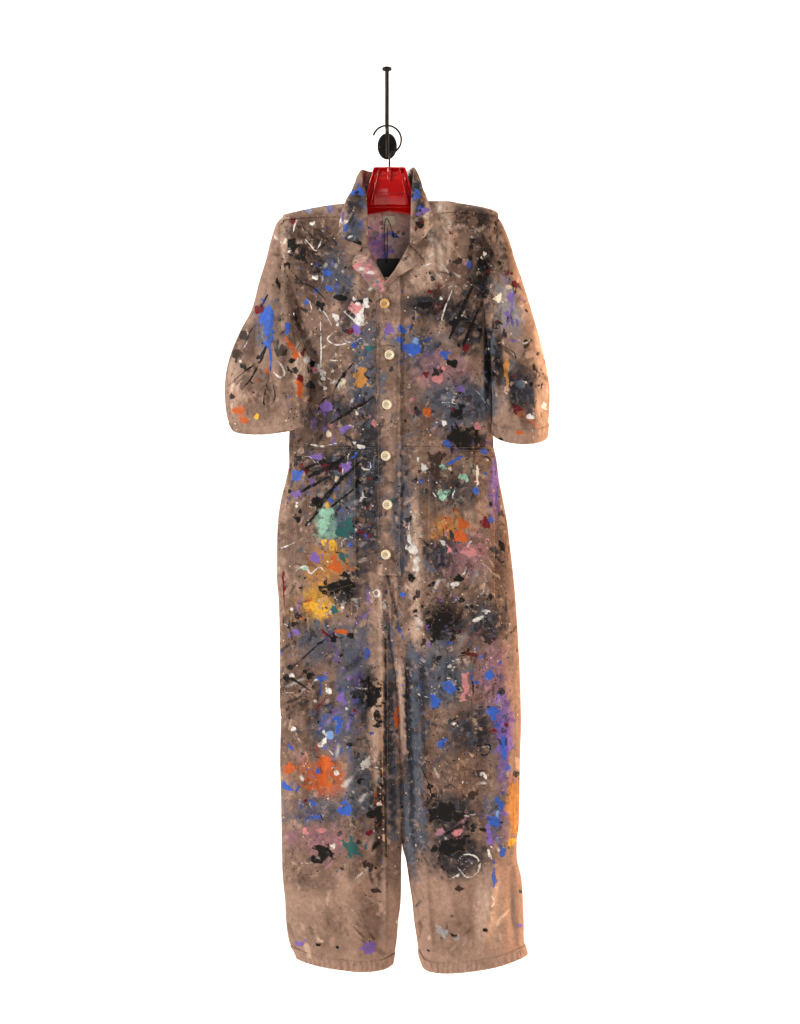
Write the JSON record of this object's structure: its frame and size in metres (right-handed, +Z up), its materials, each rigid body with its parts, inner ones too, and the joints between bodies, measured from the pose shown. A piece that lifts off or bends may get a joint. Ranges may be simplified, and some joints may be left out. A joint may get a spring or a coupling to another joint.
{
  "type": "hung coverall",
  "caption": "Short-sleeved button-front work coverall spattered with paint, hanging on a red plastic hanger from a forged iron wall hook.",
  "frame": {"origin": "centre of the wall plate's back face, on the wall", "axes": "+Z up, +Y into the wall, the garment's front faces -Y, +X to the viewer's right"},
  "size_m": [0.601, 0.1253, 1.6631],
  "materials": {
    "forged_iron": "black forged, satin",
    "hanger_wire_black": "black, gloss",
    "hanger_plastic": "translucent red, gloss",
    "cotton_canvas": "tan cotton twill, spattered with oil paint",
    "button_horn": "cream, satin",
    "loop_tape": "off-white woven tape",
    "tag_card": "black card",
    "string_cotton": "black cotton string"
  },
  "bodies": {
    "wall_hook": {"wall_plate": "forged_iron", "plate_screw_left": "forged_iron", "plate_screw_right": "forged_iron", "hook_arm": "forged_iron", "hook_cap": "forged_iron"},
    "hanger_wire": {"hanger_hook": "hanger_wire_black"},
    "garment": {"hanger_body": "hanger_plastic", "front_left": "cotton_canvas", "front_right": "cotton_canvas", "back_panel": "cotton_canvas", "yoke_left_shoulder": "cotton_canvas", "yoke_right_shoulder": "cotton_canvas", "yoke_back": "cotton_canvas", "button_placket": "cotton_canvas", "lapel_left": "cotton_canvas", "lapel_right": "cotton_canvas", "collar_fall": "cotton_canvas", "collar_stand": "cotton_canvas", "button_1": "button_horn", "button_2": "button_horn", "button_3": "button_horn", "button_4": "button_horn", "button_5": "button_horn", "button_6": "button_horn", "hip_front_left": "cotton_canvas", "hip_front_right": "cotton_canvas", "hip_back_left": "cotton_canvas", "hip_back_right": "cotton_canvas", "hip_pocket_left": "cotton_canvas", "hip_pocket_right": "cotton_canvas", "neck_loop": "loop_tape"},
    "left_sleeve": {"sleeve_left": "cotton_canvas", "sleeve_hem_left": "cotton_canvas"},
    "right_sleeve": {"sleeve_right": "cotton_canvas", "sleeve_hem_right": "cotton_canvas"},
    "left_leg": {"leg_front_left": "cotton_canvas", "leg_back_left": "cotton_canvas", "leg_hem_left": "cotton_canvas"},
    "right_leg": {"leg_front_right": "cotton_canvas", "leg_back_right": "cotton_canvas", "leg_hem_right": "cotton_canvas"},
    "tag": {"swing_tag": "tag_card", "tag_string": "string_cotton"}
  },
  "joints": [
    {"name": "hanger_swing", "type": "hinge", "parent": "wall_hook", "child": "hanger_wire", "pos_m": [0, -0.072, 0.0219], "axis": [0, 1, 0], "range_deg": [-15, 15]},
    {"name": "hanger_swivel", "type": "hinge", "parent": "hanger_wire", "child": "garment", "pos_m": [0.0045, -0.072, -0.06], "axis": [0, 0, 1], "range_deg": [-12, 12]},
    {"name": "left_sleeve_lift", "type": "hinge", "parent": "garment", "child": "left_sleeve", "pos_m": [-0.2, -0.072, -0.155], "axis": [0, 1, 0], "range_deg": [0, 38]},
    {"name": "right_sleeve_lift", "type": "hinge", "parent": "garment", "child": "right_sleeve", "pos_m": [0.206, -0.072, -0.149], "axis": [0, -1, 0], "range_deg": [0, 38]},
    {"name": "left_leg_swing", "type": "hinge", "parent": "garment", "child": "left_leg", "pos_m": [-0.0985, -0.072, -0.917], "axis": [-1, 0, -0.0035], "range_deg": [-4, 30]},
    {"name": "right_leg_swing", "type": "hinge", "parent": "garment", "child": "right_leg", "pos_m": [0.1255, -0.072, -0.917], "axis": [-1, 0, 0.0035], "range_deg": [-4, 30]},
    {"name": "tag_swing", "type": "hinge", "parent": "garment", "child": "tag", "pos_m": [0.002, -0.048, -0.1435], "axis": [0, 1, 0], "range_deg": [-10, 10]}
  ]
}
